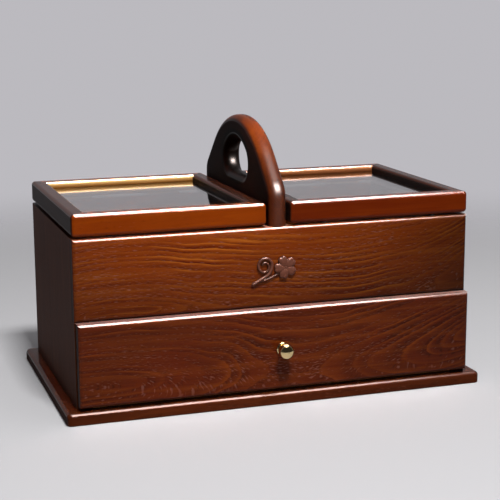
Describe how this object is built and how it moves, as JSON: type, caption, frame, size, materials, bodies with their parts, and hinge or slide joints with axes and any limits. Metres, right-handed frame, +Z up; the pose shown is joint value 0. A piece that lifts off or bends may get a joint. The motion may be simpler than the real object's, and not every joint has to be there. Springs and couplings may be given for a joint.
{
  "type": "wooden sewing basket",
  "caption": "Wooden sewing box with two hinged glass-panelled lids, a full-width drawer with a round knob, and a fixed carrying handle with a finger hole between the lids.",
  "frame": {"origin": "middle of the base board's underside, where the box stands", "axes": "+X to the right along the box's length, -Y towards the drawer front, +Z up"},
  "size_m": [0.3506, 0.2117, 0.223],
  "materials": {
    "stained_wood": "glossy red-brown lacquer",
    "plain_wood": "matt oiled",
    "brass": "polished",
    "steel": "zinc-plated",
    "glass": "clear",
    "felt": "short pile"
  },
  "bodies": {
    "carcass": {"base_board": "stained_wood", "left_side_panel": "stained_wood", "right_side_panel": "stained_wood", "upper_front_panel": "stained_wood", "back_panel": "stained_wood", "compartment_floor": "plain_wood", "handle_board": "stained_wood", "drawer_stop": "plain_wood", "panel_dowels": "plain_wood", "base_screws": "steel", "handle_screws": "steel", "hinge_box_screws": "brass", "left_hinge_box_leaves": "brass", "right_hinge_box_leaves": "brass", "hinge_pins": "brass", "blossom_emblem": "stained_wood"},
    "drawer": {"drawer_front": "stained_wood", "drawer_inner_front": "plain_wood", "drawer_left_side": "plain_wood", "drawer_right_side": "plain_wood", "drawer_back": "plain_wood", "drawer_bottom": "plain_wood", "drawer_pegs": "plain_wood", "drawer_front_screws": "steel", "knob": "brass", "knob_rose": "brass", "knob_screw": "steel"},
    "left_lid": {"left_lid_front_rail": "stained_wood", "left_lid_back_rail": "stained_wood", "left_lid_outer_rail": "stained_wood", "left_lid_inner_rail": "stained_wood", "left_lid_front_bead": "stained_wood", "left_lid_back_bead": "stained_wood", "left_lid_outer_bead": "stained_wood", "left_lid_inner_bead": "stained_wood", "left_lid_glass": "glass", "left_lid_bumpers": "felt", "left_hinge_lid_leaves": "brass", "left_hinge_lid_screws": "brass"},
    "right_lid": {"right_lid_front_rail": "stained_wood", "right_lid_back_rail": "stained_wood", "right_lid_outer_rail": "stained_wood", "right_lid_inner_rail": "stained_wood", "right_lid_front_bead": "stained_wood", "right_lid_back_bead": "stained_wood", "right_lid_outer_bead": "stained_wood", "right_lid_inner_bead": "stained_wood", "right_lid_glass": "glass", "right_lid_bumpers": "felt", "right_hinge_lid_leaves": "brass", "right_hinge_lid_screws": "brass"}
  },
  "joints": [
    {"name": "drawer_slide", "type": "slide", "parent": "carcass", "child": "drawer", "axis": [0, -1, 0], "range_m": [0, 0.115]},
    {"name": "left_lid_hinge", "type": "hinge", "parent": "carcass", "child": "left_lid", "pos_m": [-0.0875, 0.0955, 0.1438], "axis": [-1, 0, 0], "range_deg": [0, 100]},
    {"name": "right_lid_hinge", "type": "hinge", "parent": "carcass", "child": "right_lid", "pos_m": [0.0875, 0.0955, 0.1438], "axis": [-1, 0, 0], "range_deg": [0, 100]}
  ]
}
